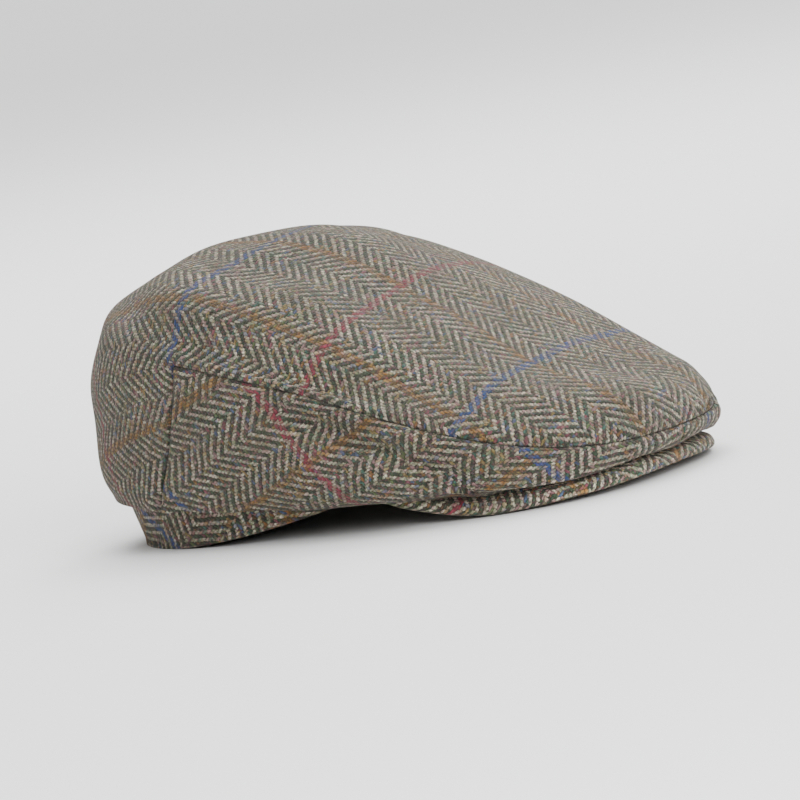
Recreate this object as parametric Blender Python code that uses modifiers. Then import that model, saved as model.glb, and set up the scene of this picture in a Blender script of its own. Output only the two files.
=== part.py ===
"""Flat cap: a one-piece top, two side panels, a band round the head and a stiff peak.

+X points to the front of the cap, +Y to the wearer's left and +Z up. The cap rests on z = 0, on the
back of its band and the edge of its peak, and the origin is under the middle of the crown. An angle
runs round the cap from 0 at the front to pi at the back, and a station runs from 0 at the lip, where
the crown meets the head opening, to STATION_APEX at the top.
"""
import bpy
import bmesh
from collections import namedtuple
from math import atan2, cos, exp, hypot, pi, radians, sin, sqrt
from mathutils import Vector

# Driving sizes, in metres
CROWN_LENGTH = 0.284
CROWN_WIDTH = 0.200
CROWN_HEIGHT = 0.1220
HEAD_LENGTH = 0.213
HEAD_WIDTH = 0.166
HEAD_SETBACK = 0.0245
PEAK_WIDTH = 0.163
PEAK_SETBACK = 0.005
PEAK_SWEEP_START = 0.0140
PEAK_RISE = 0.022
PEAK_ARCH = 0.003
PEAK_TIP_LIFT = 0.0125
PEAK_THICKNESS = 0.005
PEAK_EDGE_RADIUS = 0.0016
BAND_TEMPLE_LIFT = 0.015
BAND_OVERLAP = 0.003
BAND_HEM = 0.003
CLOTH_WALL = 0.002

# How the pieces meet, in metres
SEAM_GAP = 0.0003
SEAM_DIP = 0.0015
SEAM_REACH = 0.003
LIP_INSET = 0.0075
LIP_RISE = 0.0022
FOLD_CLEARANCE = 0.0012
FOLD_SOFTNESS = 0.003
FOLD_BLEND = 0.020
LIP_BLEND = 0.050

# The dart at the middle of the back, which parts the crown into two soft lobes
CLEFT_DEPTH = 0.021
CLEFT_HALF_WIDTH = 0.018
CLEFT_SHARE_AT_FOLD = 0.25
CLEFT_DEEPEST_STATION = 2.20
CLEFT_END_STATION = 4.00

# Shares of a piece's own height or length
HEM_SHARE_AT_TEMPLE = 0.4
BAND_UPRIGHT_SHARE = 0.85
PEAK_ARCH_SHARE = 0.86
PEAK_TIP_SHARE = 0.3
PEAK_TIP_START = 0.86
FOLD_LIFT_START = 1.09
FOLD_LIFT_FULL = 1.01

# Angles round the cap
UPRIGHT_SEAM_TOP = radians(114)
UPRIGHT_SEAM_FOOT = radians(118.5)
PEAK_SWEEP = radians(86)
PEAK_FLAT_SWEEP = radians(56)
HEAD_SWEEP_AT_PEAK = radians(66)
BAND_FLAT_ANGLE = radians(130)
SHARP_ANGLE = radians(50)

# Fullness is the exponent of a round outline: 2 is an ellipse and more is squarer
HEAD_FULLNESS = 2.35
PEAK_FULLNESS = 2.8

# Rings of the crown from the fold at its foot to the ridge round its top. A ring's x shares are of
# CROWN_LENGTH from the middle, half_width is a share of CROWN_WIDTH and the z shares and fore_rise,
# which lifts or lowers the ring two thirds of the way forward, are of CROWN_HEIGHT.
FORE_PEAK = 4 / 27
Ring = namedtuple("Ring", "station back wide front half_width fullness z_back z_side z_front fore_rise")
RINGS = (
    Ring(0.15, -0.498, -0.047, 0.465, 0.468, 2.60, 0.202, 0.128, 0.066, 0.000),
    Ring(1.00, -0.507, 0.013, 0.493, 0.500, 2.30, 0.590, 0.265, 0.108, -0.032),
    Ring(1.70, -0.462, 0.013, 0.503, 0.480, 2.35, 0.825, 0.560, 0.168, -0.061),
    Ring(2.20, -0.407, -0.047, 0.476, 0.460, 2.20, 0.925, 0.629, 0.295, -0.022),
    Ring(3.00, -0.342, -0.097, 0.352, 0.390, 2.00, 0.970, 0.848, 0.429, -0.017),
    Ring(4.00, -0.252, -0.102, 0.142, 0.200, 2.00, 1.020, 0.950, 0.745, 0.000),
)
STATION_FOLD = RINGS[0].station
STATION_SEAM = RINGS[2].station
STATION_APEX = 5.0
APEX_X = -0.047
APEX_Z = 0.985

# Faces along each piece
CROWN_GRID = 28
DROP_ROWS = 7
SIDE_COLUMNS = 26
SIDE_ROWS = 7
BAND_COLUMNS = 44
BAND_ROWS = 4
PEAK_COLUMNS = 40
PEAK_ROWS = 5
EDGE_ROW_SHIFT = 0.55
ROW_CROWDING = 1.15
EDGE_SQUARING = 4
HALVINGS = 40

# Small steps for slopes, in metres, radians and stations, and the least size that counts
STEP = 0.001
TURN = 0.01
RISE = 0.01
TINY = 1e-6

Finish = namedtuple("Finish", "name colour roughness")
FINISHES = {
    "crown_top": Finish("tweed_top", (0.30, 0.28, 0.23), 0.95),
    "side_panel": Finish("tweed_side", (0.25, 0.23, 0.19), 0.95),
    "band": Finish("tweed_band", (0.20, 0.19, 0.16), 0.95),
    "peak": Finish("tweed_peak", (0.22, 0.21, 0.18), 0.95),
}


def smooth_step(value):
    """Ease a value from 0 to 1."""
    value = min(max(value, 0.0), 1.0)
    return value * value * (3 - 2 * value)


def outline_point(angle, back, wide, front, half_width, fullness):
    """Point of a round outline in plan, seen from its widest place."""
    reach = (abs(cos(angle)) ** fullness + abs(sin(angle)) ** fullness) ** (-1 / fullness)
    end = front - wide if cos(angle) > 0 else wide - back
    return Vector((wide + end * cos(angle) * reach, half_width * sin(angle) * reach, 0))


def head_point(angle):
    """Point of the head opening in plan."""
    half = HEAD_LENGTH / 2
    return outline_point(angle, -half - HEAD_SETBACK, -HEAD_SETBACK, half - HEAD_SETBACK,
                         HEAD_WIDTH / 2, HEAD_FULLNESS)


def peak_front():
    """Distance from the middle of the cap to the front of the peak."""
    return CROWN_LENGTH / 2 - PEAK_SETBACK


def peak_edge_point(angle):
    """Point of the peak's outer edge in plan."""
    return outline_point(angle, 0, PEAK_SWEEP_START, peak_front(), PEAK_WIDTH / 2, PEAK_FULLNESS)


def peak_share(x, y):
    """How far a place lies from the peak's centre, 1 at its outer edge, and the angle there."""
    across = (x - PEAK_SWEEP_START) / (peak_front() - PEAK_SWEEP_START)
    beside = y / (PEAK_WIDTH / 2)
    share = (abs(across) ** PEAK_FULLNESS + abs(beside) ** PEAK_FULLNESS) ** (1 / PEAK_FULLNESS)
    return share, atan2(beside, across)


def peak_under(x, y):
    """Height of the underside of the peak."""
    share, angle = peak_share(x, y)
    forehead = peak_share(HEAD_LENGTH / 2 - HEAD_SETBACK, 0)[0]
    tip = smooth_step((abs(angle) - PEAK_FLAT_SWEEP) / (pi / 2 - PEAK_FLAT_SWEEP))
    arch = max(1 - (y / (PEAK_WIDTH / 2 * PEAK_ARCH_SHARE)) ** 2, 0)
    return PEAK_ARCH * arch + PEAK_TIP_LIFT * tip + PEAK_RISE * (1 - share) / (1 - forehead)


def peak_over(x, y):
    """Height of the upper side of the peak, or of the air just past its edge."""
    along_x = (peak_under(x + STEP, y) - peak_under(x - STEP, y)) / (2 * STEP)
    along_y = (peak_under(x, y + STEP) - peak_under(x, y - STEP)) / (2 * STEP)
    return peak_under(x, y) + PEAK_THICKNESS * sqrt(1 + along_x ** 2 + along_y ** 2)


def ring_point(ring, angle):
    """Point of one of the crown's rings."""
    point = outline_point(angle, ring.back * CROWN_LENGTH, ring.wide * CROWN_LENGTH,
                          ring.front * CROWN_LENGTH, ring.half_width * CROWN_WIDTH, ring.fullness)
    tilt = (ring.z_front - ring.z_back) / 2
    bow = (ring.z_front + ring.z_back) / 2 - ring.z_side
    ahead = max(cos(angle), 0)
    fore = ring.fore_rise * ahead ** 2 * (1 - ahead) / FORE_PEAK
    point.z = CROWN_HEIGHT * (ring.z_side + tilt * cos(angle) + bow * cos(angle) ** 2 + fore)
    return point


def fold_point(angle):
    """Point of the fold at the foot of the crown, held clear of the peak under it."""
    point = ring_point(RINGS[0], angle)
    place = max(point.x, PEAK_SWEEP_START)
    short = peak_over(place, point.y) + SEAM_GAP + FOLD_CLEARANCE - point.z
    lift = (short + hypot(short, FOLD_SOFTNESS)) / 2
    share = peak_share(place, point.y)[0]
    over_peak = smooth_step((FOLD_LIFT_START - share) / (FOLD_LIFT_START - FOLD_LIFT_FULL))
    point.z += lift * over_peak * smooth_step((point.x - PEAK_SWEEP_START) / FOLD_BLEND)
    return point


def lip_point(angle):
    """Point where the crown turns in: it lies on the peak in front and meets the band behind."""
    fold = fold_point(angle)
    along = ring_point(RINGS[0], angle + TURN) - ring_point(RINGS[0], angle - TURN)
    inward = Vector((-along.y, along.x, 0)).normalized()
    point = fold + inward * LIP_INSET
    behind = fold.z + LIP_RISE
    tip_x = PEAK_SWEEP_START
    over = peak_over(max(point.x, tip_x), point.y) + SEAM_GAP
    point.z = behind + (over - behind) * smooth_step((point.x - tip_x + LIP_BLEND) / LIP_BLEND)
    return point


def station_point(index, angle):
    """Point of the ring with an index: 0 is the lip, 7 the apex and 8 the ring past it."""
    if index < 0:
        return lip_point(angle) * 2 - fold_point(angle)
    if index == 0:
        return lip_point(angle)
    if index == 1:
        return fold_point(angle)
    if index <= len(RINGS):
        return ring_point(RINGS[index - 1], angle)
    if index == len(RINGS) + 1:
        return Vector((APEX_X * CROWN_LENGTH, 0, APEX_Z * CROWN_HEIGHT))
    return ring_point(RINGS[-1], angle + pi)


def knot(index):
    """Station of the ring with an index."""
    if index < 0:
        return -STATION_FOLD
    if index == 0:
        return 0
    if index <= len(RINGS):
        return RINGS[index - 1].station
    return STATION_APEX + (index - len(RINGS) - 1) * (STATION_APEX - RINGS[-1].station)


def smooth_point(angle, station):
    """Point of the crown without its dart, on a smooth curve through the rings."""
    index = max(i for i in range(len(RINGS) + 1) if knot(i) <= station or i == 0)
    before, start, end, after = [station_point(index + i, angle) for i in (-1, 0, 1, 2)]
    length = knot(index + 1) - knot(index)
    leave = (end - before) * (length / (knot(index + 1) - knot(index - 1)))
    arrive = (after - start) * (length / (knot(index + 2) - knot(index)))
    share = (station - knot(index)) / length
    square = share ** 2
    cube = share ** 3
    return (start * (2 * cube - 3 * square + 1) + leave * (cube - 2 * square + share)
            + end * (3 * square - 2 * cube) + arrive * (cube - square))


def outward(point_at, angle, station):
    """Direction out of a surface that is given by an angle and a station."""
    station = min(station, STATION_APEX - 3 * RISE)
    across = point_at(angle + TURN, station) - point_at(angle - TURN, station)
    up = point_at(angle, station + RISE) - point_at(angle, station - RISE)
    return across.cross(up).normalized()


def cleft_depth(angle, station):
    """Depth of the dart at the middle of the back."""
    behind = abs(abs(angle) - pi)
    half_angle = CLEFT_HALF_WIDTH / (CROWN_WIDTH / 2)
    deepest = CLEFT_DEEPEST_STATION
    if station < deepest:
        along = CLEFT_SHARE_AT_FOLD + (1 - CLEFT_SHARE_AT_FOLD) * smooth_step(station / deepest)
        along *= smooth_step(station / STATION_FOLD)
    else:
        along = 1 - smooth_step((station - deepest) / (CLEFT_END_STATION - deepest))
    return CLEFT_DEPTH * along * exp(-(behind / half_angle) ** 2)


def crown_point(angle, station, seam_distance=1.0):
    """Point of the crown's outer side, which dips where a seam is near."""
    sink = cleft_depth(angle, station)
    sink += SEAM_DIP * (1 - smooth_step(seam_distance / SEAM_REACH))
    point = smooth_point(angle, station)
    if sink > TINY:
        point -= outward(smooth_point, angle, station) * sink
    return point


def upright_seam(station):
    """Angle of the upright seam, which leans back towards its foot."""
    share = station / STATION_SEAM
    return UPRIGHT_SEAM_FOOT + (UPRIGHT_SEAM_TOP - UPRIGHT_SEAM_FOOT) * min(share, 1)


def speed_round(angle, station):
    """Metres round the crown for a radian."""
    return (smooth_point(angle + TURN, station) - smooth_point(angle - TURN, station)).length / (2 * TURN)


def speed_up(angle, station):
    """Metres up the crown for a whole station."""
    return (smooth_point(angle, station + RISE) - smooth_point(angle, station - RISE)).length / (2 * RISE)


def new_object(name, mesh, finish, collection):
    """Put a mesh in the scene as a named piece with its own finish."""
    material = bpy.data.materials.get(finish.name) or bpy.data.materials.new(finish.name)
    material.use_nodes = True
    shader = material.node_tree.nodes["Principled BSDF"]
    shader.inputs["Base Color"].default_value = (*finish.colour, 1)
    shader.inputs["Roughness"].default_value = finish.roughness
    shader.inputs["Metallic"].default_value = 0
    mesh.materials.append(material)
    mesh.shade_smooth()
    mesh.set_sharp_from_angle(angle=SHARP_ANGLE)
    piece = bpy.data.objects.new(name, mesh)
    collection.objects.link(piece)
    return piece


def finished_mesh(name, grid, is_outside):
    """Turn an open bmesh into a mesh whose faces look the way that is_outside says."""
    grid.normal_update()
    facing = sum(face.calc_area() * is_outside(face) for face in grid.faces)
    if facing < 0:
        bmesh.ops.reverse_faces(grid, faces=grid.faces)
    mesh = bpy.data.meshes.new(name)
    grid.to_mesh(mesh)
    grid.free()
    return mesh


def add_wall(piece, thickness, offset):
    """Give an open surface its thickness, inwards for an offset of -1."""
    wall = piece.modifiers.new("wall", "SOLIDIFY")
    wall.thickness = thickness
    wall.offset = offset
    return piece


def faces_out(face):
    """Positive where a face looks away from the hollow under the crown."""
    centre = Vector((APEX_X * CROWN_LENGTH, 0, 0))
    return face.normal.dot(face.calc_center_median() - centre)


def disc_place(across, beside):
    """Share of the way out and angle for a place in a square grid."""
    ahead = across * sqrt(1 - beside ** 2 / 2)
    aside = beside * sqrt(1 - across ** 2 / 2)
    square = max(abs(across), abs(beside))
    round_share = hypot(ahead, aside)
    return round_share + (square - round_share) * square ** EDGE_SQUARING, atan2(aside, ahead)


def warped(angle, seam, new_seam):
    """Move angles round the cap so that those at the upright seam stay on it."""
    if abs(angle) <= seam:
        turned = new_seam * abs(angle) / seam
    else:
        turned = new_seam + (pi - new_seam) * (abs(angle) - seam) / (pi - seam)
    return turned if angle >= 0 else -turned


def near_edge(share, rows):
    """Place the last row but one close to the edge, so that the seam's dip has a side."""
    return share + EDGE_ROW_SHIFT / rows * smooth_step(1 - abs(share - (rows - 1) / rows) * rows)


def build_crown_top(collection):
    """The one-piece top, with the drop behind the upright seams that has no seam above it."""
    grid = bmesh.new()
    bmesh.ops.create_grid(grid, x_segments=CROWN_GRID, y_segments=CROWN_GRID, size=1)
    column = round(cos(UPRIGHT_SEAM_TOP) * sqrt(2) * CROWN_GRID / 2) * 2 / CROWN_GRID
    seam_line = disc_place(column, 1)[1]
    angles = {}
    for vertex in grid.verts:
        share, angle = disc_place(vertex.co.x, vertex.co.y)
        angle = warped(angle, seam_line, UPRIGHT_SEAM_TOP)
        share = near_edge(share, CROWN_GRID / 2)
        station = STATION_APEX + (STATION_SEAM - STATION_APEX) * share
        seam = (station - STATION_SEAM) * speed_up(angle, (station + STATION_SEAM) / 2)
        if abs(angle) > UPRIGHT_SEAM_TOP + TINY:
            seam = hypot(seam, (abs(angle) - UPRIGHT_SEAM_TOP) * CROWN_WIDTH / 2)
        vertex.co = crown_point(angle, station, seam)
        angles[vertex] = angle
    rim = [edge for edge in grid.edges if edge.is_boundary
           and all(abs(angles[v]) > UPRIGHT_SEAM_TOP - TINY for v in edge.verts)]
    for row in range(1, DROP_ROWS + 1):
        station = STATION_SEAM * (1 - row / DROP_ROWS) ** ROW_CROWDING
        before = {tuple(v.co): angles[v] for edge in rim for v in edge.verts}
        made = bmesh.ops.extrude_edge_only(grid, edges=rim)["geom"]
        rim = [item for item in made if isinstance(item, bmesh.types.BMEdge)]
        for vertex in [item for item in made if isinstance(item, bmesh.types.BMVert)]:
            angles[vertex] = before[tuple(vertex.co)]
            angle = warped(angles[vertex], UPRIGHT_SEAM_TOP, upright_seam(station))
            seam = (abs(angle) - upright_seam(station)) * CROWN_WIDTH / 2
            vertex.co = crown_point(angle, station, seam)
    mesh = finished_mesh("crown_top", grid, faces_out)
    return add_wall(new_object("crown_top", mesh, FINISHES["crown_top"], collection), CLOTH_WALL, -1)


def build_side_panel(name, side, collection):
    """The panel on one side, from the seam at the front to the upright seam behind."""
    grid = bmesh.new()
    bmesh.ops.create_grid(grid, x_segments=SIDE_COLUMNS, y_segments=SIDE_ROWS, size=1)
    for vertex in grid.verts:
        along = (vertex.co.x + 1) / 2
        up = near_edge((vertex.co.y + 1) / 2, SIDE_ROWS)
        top = STATION_SEAM - SEAM_GAP / speed_up(side * UPRIGHT_SEAM_TOP * along, STATION_SEAM)
        station = top * up ** ROW_CROWDING
        seam = upright_seam(station)
        round_speed = speed_round(side * seam * along, station)
        first = SEAM_GAP / 2 / round_speed
        last = seam - SEAM_GAP / round_speed
        angle = first + (last - first) * near_edge(along, SIDE_COLUMNS)
        top_seam = (top - station) * speed_up(side * angle, (station + top) / 2)
        vertex.co = crown_point(side * angle, station, min(top_seam, (last - angle) * round_speed))
    mesh = finished_mesh(name, grid, faces_out)
    return add_wall(new_object(name, mesh, FINISHES["side_panel"], collection), CLOTH_WALL, -1)


def band_edge_height(angle):
    """Height of the band's lower edge: flat behind, and rising to the temples."""
    temple = HEAD_SWEEP_AT_PEAK
    share = min(max((BAND_FLAT_ANGLE - abs(angle)) / (BAND_FLAT_ANGLE - temple), 0), 1)
    return BAND_TEMPLE_LIFT * share ** 2


def band_point(angle, share):
    """Point of the band's outer side, from its upright hem to behind the crown's lip."""
    along = lip_point(angle + TURN) - lip_point(angle - TURN)
    inward = Vector((-along.y, along.x, 0)).normalized()
    seat = lip_point(angle) + inward * SEAM_GAP
    head_angle = atan2(seat.y / HEAD_WIDTH, (seat.x + HEAD_SETBACK) / HEAD_LENGTH)
    foot = head_point(head_angle)
    foot.z = band_edge_height(head_angle)
    foot.xy = foot.xy.lerp(seat.xy, foot.z / BAND_TEMPLE_LIFT * BAND_UPRIGHT_SHARE)
    hem = foot.z + min(BAND_HEM, (seat.z - foot.z) * HEM_SHARE_AT_TEMPLE)
    top = seat.z + CLOTH_WALL + BAND_OVERLAP
    row = share * BAND_ROWS
    height = hem + (top - hem) * (row - 1) / (BAND_ROWS - 1)
    if row < 1:
        height = foot.z + (hem - foot.z) * row
    place = foot.lerp(seat, min(max((height - hem) / (seat.z - hem), 0), 1))
    place.z = height
    return place


def band_start():
    """Angle of the band's end, just behind the tip of the peak."""
    tip = head_point(HEAD_SWEEP_AT_PEAK).x
    low, high = 0.0, pi
    for _ in range(HALVINGS):
        middle = (low + high) / 2
        if lip_point(middle).x > tip - 2 * SEAM_GAP:
            low = middle
        else:
            high = middle
    return high


def build_band(collection):
    """The band round the back and sides of the head, which ends at the tips of the peak."""
    grid = bmesh.new()
    bmesh.ops.create_grid(grid, x_segments=BAND_COLUMNS, y_segments=BAND_ROWS, size=1)
    first = band_start()
    for vertex in grid.verts:
        angle = first + (2 * pi - 2 * first) * (vertex.co.x + 1) / 2
        angle = angle if angle <= pi else angle - 2 * pi
        vertex.co = band_point(angle, (vertex.co.y + 1) / 2)
    mesh = finished_mesh("band", grid, faces_out)
    return add_wall(new_object("band", mesh, FINISHES["band"], collection), CLOTH_WALL, -1)


def build_peak(collection):
    """The stiff peak, a crescent that slopes from the forehead down to its outer edge."""
    grid = bmesh.new()
    bmesh.ops.create_grid(grid, x_segments=PEAK_COLUMNS, y_segments=PEAK_ROWS, size=1)
    for vertex in grid.verts:
        sweep = vertex.co.x
        inner = head_point(HEAD_SWEEP_AT_PEAK * sweep)
        outer = peak_edge_point(PEAK_SWEEP * sweep)
        taper = 1 - (1 - PEAK_TIP_SHARE) * smooth_step((abs(sweep) - PEAK_TIP_START) / (1 - PEAK_TIP_START))
        place = inner.lerp(outer, (vertex.co.y + 1) / 2 * taper)
        place.z = peak_under(place.x, place.y)
        vertex.co = place
    mesh = finished_mesh("peak", grid, lambda face: face.normal.z)
    piece = add_wall(new_object("peak", mesh, FINISHES["peak"], collection), PEAK_THICKNESS, 1)
    rounding = piece.modifiers.new("rounding", "BEVEL")
    rounding.width = PEAK_EDGE_RADIUS
    rounding.segments = 2
    rounding.limit_method = "ANGLE"
    rounding.angle_limit = SHARP_ANGLE
    return piece


def main():
    """Clear the scene and build the cap."""
    for item in list(bpy.data.objects):
        bpy.data.objects.remove(item, do_unlink=True)
    collection = bpy.data.collections.new("flat_cap")
    bpy.context.scene.collection.children.link(collection)
    build_crown_top(collection)
    build_side_panel("side_panel_left", 1, collection)
    build_side_panel("side_panel_right", -1, collection)
    build_band(collection)
    build_peak(collection)


main()
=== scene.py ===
"""Looks of a tweed flat cap: herringbone cloth, sewn seams and a soft, studio-lit setting.

+X points to the front of the cap, +Y to the wearer's left and +Z up, in metres. An angle runs round
the cap from 0 at the front to pi at the back, and a station runs from 0 at the lip, where the crown
meets the head opening, to APEX at the top. Slopes are taken over TURN radians, RISE stations or
STEP metres. Each piece is cut from flat cloth: its UV map is its pattern piece laid flat, in
metres, with U across the warp and V along it.
"""
import logging
from collections.abc import Callable
from dataclasses import dataclass, field
from enum import Enum
from functools import partialmethod
from math import cos, pi, radians, sin, sqrt

import bmesh
import bpy
import numpy as np
from mathutils import Matrix, Vector


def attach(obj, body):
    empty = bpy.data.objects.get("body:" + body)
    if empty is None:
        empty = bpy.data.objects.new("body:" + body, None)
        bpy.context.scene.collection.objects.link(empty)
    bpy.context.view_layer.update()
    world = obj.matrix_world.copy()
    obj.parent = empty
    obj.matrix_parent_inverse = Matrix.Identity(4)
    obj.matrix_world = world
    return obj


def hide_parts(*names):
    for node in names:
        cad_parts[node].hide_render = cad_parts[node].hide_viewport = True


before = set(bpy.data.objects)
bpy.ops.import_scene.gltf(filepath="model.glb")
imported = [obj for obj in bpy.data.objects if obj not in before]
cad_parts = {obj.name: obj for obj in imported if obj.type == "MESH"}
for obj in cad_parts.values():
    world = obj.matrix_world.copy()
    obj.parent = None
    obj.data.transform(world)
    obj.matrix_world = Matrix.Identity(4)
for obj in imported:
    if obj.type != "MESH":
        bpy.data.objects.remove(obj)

log = logging.getLogger("flat_cap")
Array = np.ndarray
Shade = tuple[float, float, float]
Grain = tuple[float, float, float]
Socket = bpy.types.NodeSocket
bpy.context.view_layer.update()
ROOT = "root"
APEX = 5.0
TURN = 0.01
RISE = 0.01
STEP = 0.001
WELD = 1e-6
RIPPLE_SPREAD = (0.7, 1.5)
RIPPLE_HEIGHT = 0.6
INSIDE = Vector((-0.01, 0, 0))
WOOL = {"Roughness": 0.93, "Specular IOR Level": 0.22, "Sheen Weight": 0.12,
        "Sheen Roughness": 0.55, "Sheen Tint": (0.85, 0.82, 0.76, 1)}


def smooth_step(value: Array) -> Array:
    """Ease values from 0 to 1."""
    value = np.clip(value, 0.0, 1.0)
    return value * value * (3 - 2 * value)


def unit(vectors: Array) -> Array:
    """Vectors brought to unit length."""
    return vectors / np.maximum(np.linalg.norm(vectors, axis=-1, keepdims=True), 1e-12)


def ripple(places: Array, wavelength: float, seed: int, waves: int = 14) -> Array:
    """Soft lumps over a surface, from a seeded sum of waves.

    Args:
        places: Points, in metres, of any number of columns.
        wavelength: Mean distance between lumps, in metres.
        seed: Picks the waves.
        waves: How many waves are summed.

    Returns:
        One height for each point, mostly from -1 to 1.
    """
    draw = np.random.default_rng(seed)
    total = np.zeros(len(places))
    for _ in range(waves):
        heading = unit(draw.normal(size=places.shape[1]))
        length = wavelength * draw.uniform(*RIPPLE_SPREAD)
        total += np.sin(places @ heading * (2 * pi / length) + draw.uniform(0, 2 * pi))
    return total / sqrt(waves / 2) * RIPPLE_HEIGHT


@dataclass(frozen=True)
class Ring:
    """One level ring round the crown, in shares of the crown's length, width and height."""
    station: float
    back: float
    wide: float
    front: float
    half_width: float
    fullness: float
    z_back: float
    z_side: float
    z_front: float
    fore_rise: float


@dataclass(frozen=True)
class CapForm:
    """The cap's shape as the pattern maker draws it; every piece is cut from this surface."""
    crown_length: float = 0.284
    crown_width: float = 0.200
    crown_height: float = 0.122
    head_length: float = 0.213
    head_width: float = 0.166
    head_setback: float = 0.0245
    head_fullness: float = 2.35
    peak_width: float = 0.163
    peak_setback: float = 0.005
    peak_sweep_start: float = 0.014
    peak_rise: float = 0.022
    peak_arch: float = 0.003
    peak_arch_share: float = 0.86
    peak_tip_lift: float = 0.0125
    peak_thickness: float = 0.005
    peak_fullness: float = 2.8
    peak_flat_sweep: float = radians(56)
    seam_gap: float = 0.0003
    lip_inset: float = 0.0075
    lip_rise: float = 0.0022
    lip_blend: float = 0.050
    fold_clearance: float = 0.0012
    fold_softness: float = 0.003
    fold_blend: float = 0.020
    fold_lift_start: float = 1.09
    fold_lift_full: float = 1.01
    fore_peak: float = 4 / 27
    cleft_depth: float = 0.021
    cleft_half_width: float = 0.018
    cleft_share_at_fold: float = 0.25
    cleft_deepest_station: float = 2.2
    cleft_end_station: float = 4.0
    upright_seam_top: float = radians(114)
    upright_seam_foot: float = radians(118.5)
    apex_x: float = -0.047
    apex_z: float = 0.985
    rings: tuple[Ring, ...] = (
        Ring(0.15, -0.498, -0.047, 0.465, 0.468, 2.60, 0.202, 0.128, 0.066, 0.000),
        Ring(1.00, -0.507, 0.013, 0.493, 0.500, 2.30, 0.590, 0.265, 0.108, -0.032),
        Ring(1.70, -0.462, 0.013, 0.503, 0.480, 2.35, 0.825, 0.560, 0.168, -0.061),
        Ring(2.20, -0.407, -0.047, 0.476, 0.460, 2.20, 0.925, 0.629, 0.295, -0.022),
        Ring(3.00, -0.342, -0.097, 0.352, 0.390, 2.00, 0.970, 0.848, 0.429, -0.017),
        Ring(4.00, -0.252, -0.102, 0.142, 0.200, 2.00, 1.020, 0.950, 0.745, 0.000),
    )

    @property
    def seam_station(self) -> float:
        """Station of the seam round the top piece."""
        return self.rings[2].station

    @property
    def peak_front(self) -> float:
        """Distance from the middle of the cap to the front of the peak."""
        return self.crown_length / 2 - self.peak_setback

    @staticmethod
    def outline(angle: Array, back: float, wide: float, front: float, half_width: float,
                fullness: float) -> Array:
        """Points of a round outline in plan, seen from its widest place."""
        c, s = np.cos(angle), np.sin(angle)
        reach = (np.abs(c) ** fullness + np.abs(s) ** fullness) ** (-1 / fullness)
        end = np.where(c > 0, front - wide, wide - back)
        return np.stack([wide + end * c * reach, half_width * s * reach, 0 * c], -1)

    def head(self, angle: Array) -> Array:
        """Points of the head opening in plan."""
        half = self.head_length / 2
        return self.outline(angle, -half - self.head_setback, -self.head_setback,
                            half - self.head_setback, self.head_width / 2, self.head_fullness)

    def peak_edge(self, angle: Array) -> Array:
        """Points of the peak's outer edge in plan."""
        return self.outline(angle, 0, self.peak_sweep_start, self.peak_front,
                            self.peak_width / 2, self.peak_fullness)

    def peak_share(self, x: Array, y: Array) -> tuple[Array, Array]:
        """How far places lie from the peak's centre, 1 at its outer edge, and the angle there."""
        across = (x - self.peak_sweep_start) / (self.peak_front - self.peak_sweep_start)
        beside = y / (self.peak_width / 2)
        n = self.peak_fullness
        return (np.abs(across) ** n + np.abs(beside) ** n) ** (1 / n), np.arctan2(beside, across)

    def peak_under(self, x: Array, y: Array) -> Array:
        """Height of the underside of the peak."""
        share, angle = self.peak_share(x, y)
        forehead = self.peak_share(np.float64(self.head_length / 2 - self.head_setback),
                                   np.float64(0))[0]
        flat = self.peak_flat_sweep
        tip = smooth_step((np.abs(angle) - flat) / (pi / 2 - flat))
        arch = np.maximum(1 - (y / (self.peak_width / 2 * self.peak_arch_share)) ** 2, 0)
        return (self.peak_arch * arch + self.peak_tip_lift * tip
                + self.peak_rise * (1 - share) / (1 - forehead))

    def peak_over(self, x: Array, y: Array) -> Array:
        """Height of the upper side of the peak, or of the air just past its edge."""
        along_x = (self.peak_under(x + STEP, y) - self.peak_under(x - STEP, y)) / (2 * STEP)
        along_y = (self.peak_under(x, y + STEP) - self.peak_under(x, y - STEP)) / (2 * STEP)
        slope = np.sqrt(1 + along_x ** 2 + along_y ** 2)
        return self.peak_under(x, y) + self.peak_thickness * slope

    def ring(self, ring: Ring, angle: Array) -> Array:
        """Points of one of the crown's rings."""
        length, width = self.crown_length, self.crown_width
        points = self.outline(angle, ring.back * length, ring.wide * length, ring.front * length,
                              ring.half_width * width, ring.fullness)
        c = np.cos(angle)
        tilt = (ring.z_front - ring.z_back) / 2
        bow = (ring.z_front + ring.z_back) / 2 - ring.z_side
        ahead = np.maximum(c, 0)
        fore = ring.fore_rise * ahead ** 2 * (1 - ahead) / self.fore_peak
        points[..., 2] = self.crown_height * (ring.z_side + tilt * c + bow * c ** 2 + fore)
        return points

    def foot_ring(self, angle: Array) -> Array:
        """Points of the lowest ring, where the crown folds under."""
        return self.ring(self.rings[0], angle)

    def fold(self, angle: Array) -> Array:
        """Points of the fold at the foot of the crown, held clear of the peak under it."""
        points = self.foot_ring(angle)
        x, y, z = points.T
        place = np.maximum(x, self.peak_sweep_start)
        short = self.peak_over(place, y) + self.seam_gap + self.fold_clearance - z
        lift = (short + np.hypot(short, self.fold_softness)) / 2
        share = self.peak_share(place, y)[0]
        span = self.fold_lift_start - self.fold_lift_full
        over = smooth_step((self.fold_lift_start - share) / span)
        points[:, 2] = z + lift * over * smooth_step((x - self.peak_sweep_start) / self.fold_blend)
        return points

    @staticmethod
    def inward(curve: Callable[[Array], Array], angle: Array) -> Array:
        """Level directions into the cap from a curve round it."""
        along = curve(angle + TURN) - curve(angle - TURN)
        return unit(np.stack([-along[:, 1], along[:, 0], 0 * angle], -1))

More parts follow.
